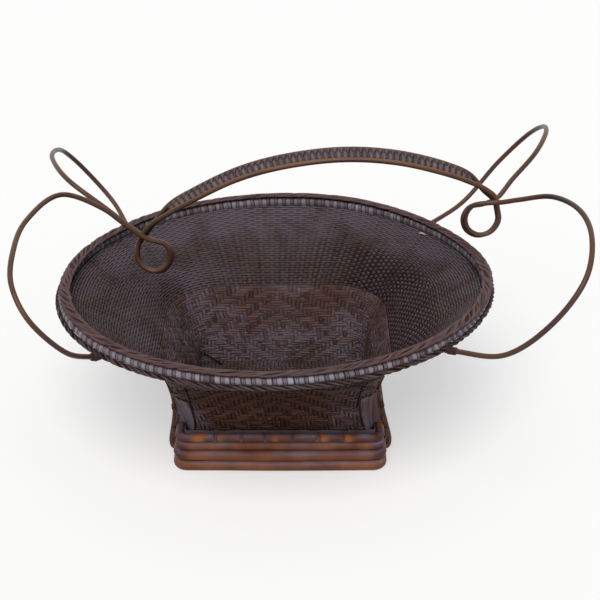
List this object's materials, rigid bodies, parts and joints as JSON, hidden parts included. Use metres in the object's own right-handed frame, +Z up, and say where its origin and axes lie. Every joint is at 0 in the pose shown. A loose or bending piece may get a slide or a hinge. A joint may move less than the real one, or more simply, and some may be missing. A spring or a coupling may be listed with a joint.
{
  "type": "handled basket",
  "caption": "Woven flower basket with a square neck on a cane foot, a wide round mouth and a looped cane handle that arches over it.",
  "frame": {"origin": "on the ground, below the middle of the whole basket's box", "axes": "+Z up; +X along the handle, to the right as seen from the front; +Y to the rear"},
  "size_m": [0.4546, 0.3816, 0.2585],
  "materials": {
    "twill_weave": "dark stained bamboo splints in twill, worn satin",
    "fine_weave": "dark stained fine bamboo weave, satin with a grey bloom",
    "rim_splint": "dark wound splint, satin",
    "rim_cord": "twisted reddish brown cane strand, satin",
    "foot_rail": "reddish brown lacquered cane, worn to orange",
    "foot_band": "grey brown split cane, satin",
    "lashing": "wound splint, satin",
    "cane": "olive brown polished cane",
    "grip_wrap": "dark wound splint, polished by handling"
  },
  "bodies": {
    "root": {"floor_mat": "twill_weave", "neck_weave": "twill_weave", "flare_weave": "fine_weave", "rim_core": "cane", "rim_wrap": "rim_splint", "rim_outer_rope": "rim_cord", "rim_top_cord": "rim_cord", "foot_band": "foot_band", "foot_rail_1": "foot_rail", "foot_rail_2": "foot_rail", "foot_rail_3": "foot_rail", "foot_rail_4": "foot_rail", "foot_lash_front_1": "lashing", "foot_lash_front_2": "lashing", "foot_lash_front_3": "lashing", "foot_lash_front_4": "lashing", "foot_lash_front_5": "lashing", "foot_lash_front_6": "lashing", "foot_lash_left_1": "lashing", "foot_lash_left_2": "lashing", "foot_lash_left_3": "lashing", "foot_lash_left_4": "lashing", "foot_lash_left_5": "lashing", "foot_lash_left_6": "lashing", "foot_lash_rear_1": "lashing", "foot_lash_rear_2": "lashing", "foot_lash_rear_3": "lashing", "foot_lash_rear_4": "lashing", "foot_lash_rear_5": "lashing", "foot_lash_rear_6": "lashing", "foot_lash_right_1": "lashing", "foot_lash_right_2": "lashing", "foot_lash_right_3": "lashing", "foot_lash_right_4": "lashing", "foot_lash_right_5": "lashing", "foot_lash_right_6": "lashing", "stay_front_left": "cane", "stay_front_right": "cane", "stay_rear_left": "cane", "stay_rear_right": "cane", "stay_tie_front_left": "lashing", "stay_tie_front_right": "lashing", "stay_tie_rear_left": "lashing", "stay_tie_rear_right": "lashing", "handle_cane_front": "cane", "handle_cane_rear": "cane", "grip_core_front": "grip_wrap", "grip_core_rear": "grip_wrap", "rim_tie_front_left": "lashing", "rim_tie_front_right": "lashing", "rim_tie_rear_left": "lashing", "rim_tie_rear_right": "lashing"}
  },
  "joints": []
}
